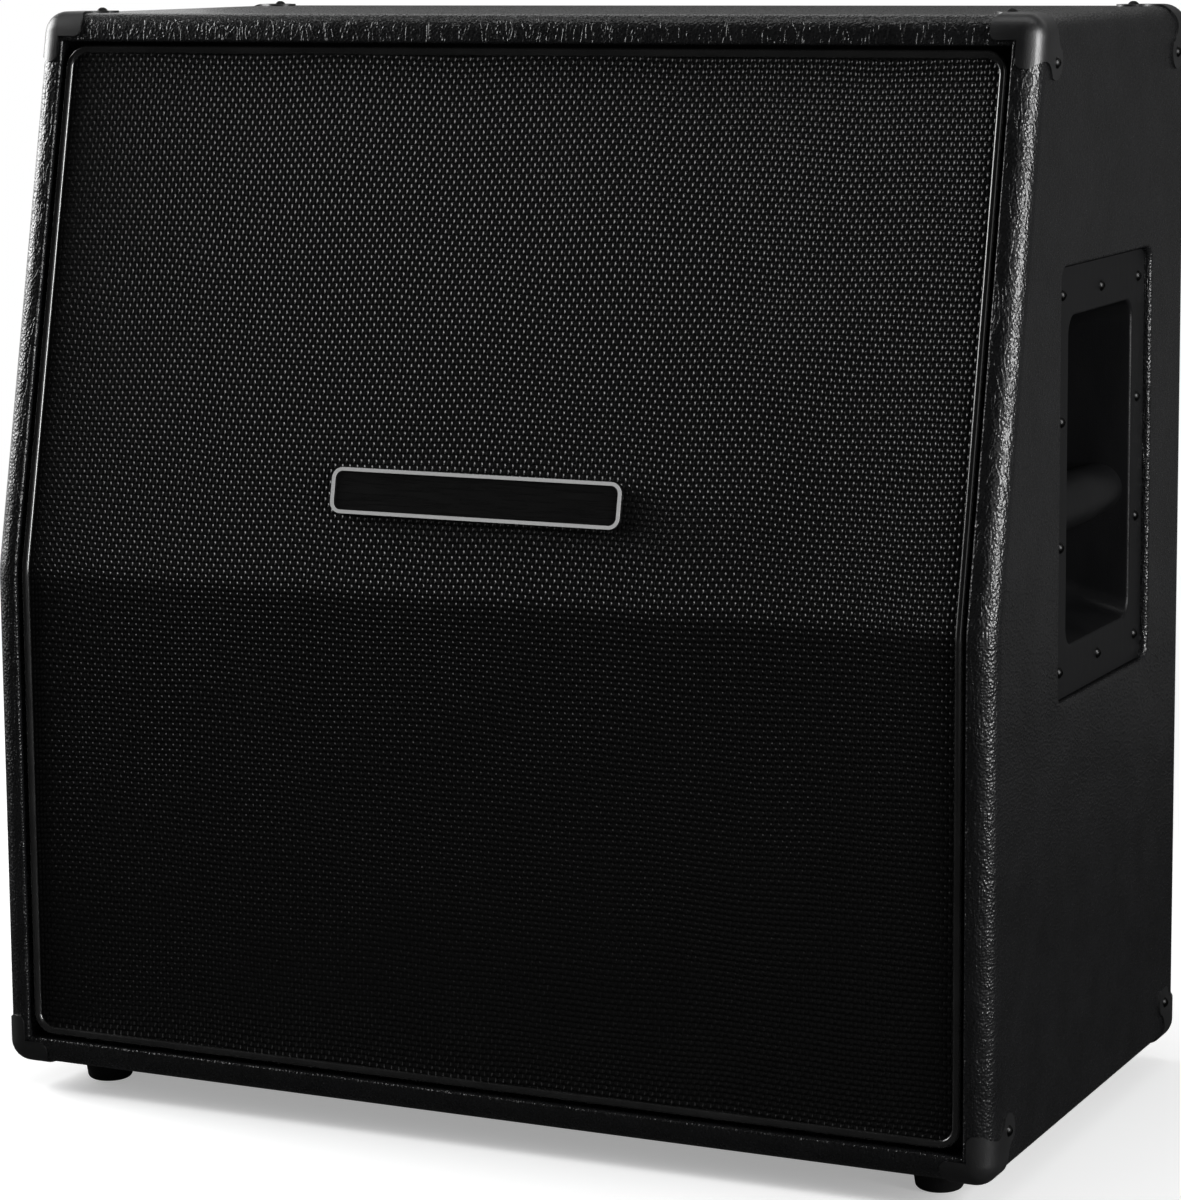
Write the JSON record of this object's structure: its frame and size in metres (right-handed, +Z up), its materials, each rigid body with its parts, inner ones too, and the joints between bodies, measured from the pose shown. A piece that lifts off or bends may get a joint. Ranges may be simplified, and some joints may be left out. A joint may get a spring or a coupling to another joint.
{
  "type": "guitar speaker cabinet",
  "caption": "Closed black speaker cabinet with a slanted upper front, piped cloth grille, recessed side handles, corner protectors and rubber feet.",
  "frame": {"origin": "on the floor under the middle of the body's width and depth", "axes": "+Z up, -Y out of the grille, +X to the right as seen from the front"},
  "size_m": [0.7676, 0.4128, 0.7818],
  "materials": {
    "plywood": "bare plywood",
    "black_board": "black painted plywood",
    "vinyl": "black grained vinyl",
    "cloth": "black woven grille cloth",
    "piping": "black vinyl bead",
    "pads": "hook and loop tape",
    "badge": "plain black plate",
    "handle": "satin black plastic",
    "corner": "stippled black plastic",
    "screw": "blackened steel",
    "bolt": "zinc plated steel",
    "rubber": "black rubber",
    "jack_plate": "black painted steel",
    "jack": "black moulded socket",
    "nut": "plated",
    "basket": "black pressed steel",
    "gasket": "felt ring",
    "surround": "doped cloth",
    "spider": "varnished cloth",
    "paper": "dark paper pulp",
    "coil": "copper winding on a former",
    "steel": "zinc plated steel",
    "magnet": "ferrite",
    "lead": "insulated wire"
  },
  "bodies": {
    "cabinet": {"top_panel": "plywood", "bottom_panel": "plywood", "left_side_panel": "plywood", "right_side_panel": "plywood", "back_panel": "plywood", "front_battens": "plywood", "rear_battens": "plywood", "centre_brace": "plywood", "upper_baffle": "black_board", "lower_baffle": "black_board", "vinyl_covering": "vinyl", "back_vinyl": "vinyl", "left_handle": "handle", "right_handle": "handle", "bottom_front_corners": "corner", "top_front_corners": "corner", "bottom_rear_corners": "corner", "top_rear_corners": "corner", "corner_screws": "screw", "handle_screws": "screw", "foot_screws": "screw", "jack_plate_screws": "screw", "back_panel_screws": "screw", "baffle_screws": "screw", "speaker_bolts": "bolt", "tee_nuts": "bolt", "front_left_foot": "rubber", "front_right_foot": "rubber", "rear_left_foot": "rubber", "rear_right_foot": "rubber", "jack_plate": "jack_plate", "jack_sockets": "jack", "jack_nuts": "nut", "speaker_baskets": "basket", "speaker_gaskets": "gasket", "speaker_surrounds": "surround", "speaker_spiders": "spider", "top_plates": "steel", "pole_yokes": "steel", "ring_magnets": "magnet", "speaker_leads": "lead"},
    "grille": {"grille_frame": "black_board", "grille_cloth": "cloth", "grille_piping": "piping", "grille_pads": "pads", "badge_plate": "badge"},
    "cone_lower_right_body": {"cone_lower_right": "paper", "dust_cap_lower_right": "paper", "voice_coil_lower_right": "coil"},
    "cone_lower_left_body": {"cone_lower_left": "paper", "dust_cap_lower_left": "paper", "voice_coil_lower_left": "coil"},
    "cone_upper_right_body": {"cone_upper_right": "paper", "dust_cap_upper_right": "paper", "voice_coil_upper_right": "coil"},
    "cone_upper_left_body": {"cone_upper_left": "paper", "dust_cap_upper_left": "paper", "voice_coil_upper_left": "coil"}
  },
  "joints": [
    {"name": "grille_pull_off", "type": "slide", "parent": "cabinet", "child": "grille", "axis": [0, -1, 0], "range_m": [0, 0.15]},
    {"name": "cone_lower_right_travel", "type": "slide", "parent": "cabinet", "child": "cone_lower_right_body", "axis": [0, -1, 0], "range_m": [-0.004, 0.004], "stiffness_N_per_m": 6000},
    {"name": "cone_lower_left_travel", "type": "slide", "parent": "cabinet", "child": "cone_lower_left_body", "axis": [0, -1, 0], "range_m": [-0.004, 0.004], "stiffness_N_per_m": 6000},
    {"name": "cone_upper_right_travel", "type": "slide", "parent": "cabinet", "child": "cone_upper_right_body", "axis": [0, -0.9774, 0.2114], "range_m": [-0.004, 0.004], "stiffness_N_per_m": 6000},
    {"name": "cone_upper_left_travel", "type": "slide", "parent": "cabinet", "child": "cone_upper_left_body", "axis": [0, -0.9774, 0.2114], "range_m": [-0.004, 0.004], "stiffness_N_per_m": 6000}
  ],
  "couplings": [
    {"joint": "cone_lower_left_travel", "follows": "cone_lower_right_travel", "ratio": 1},
    {"joint": "cone_upper_right_travel", "follows": "cone_lower_right_travel", "ratio": 1},
    {"joint": "cone_upper_left_travel", "follows": "cone_lower_right_travel", "ratio": 1}
  ]
}
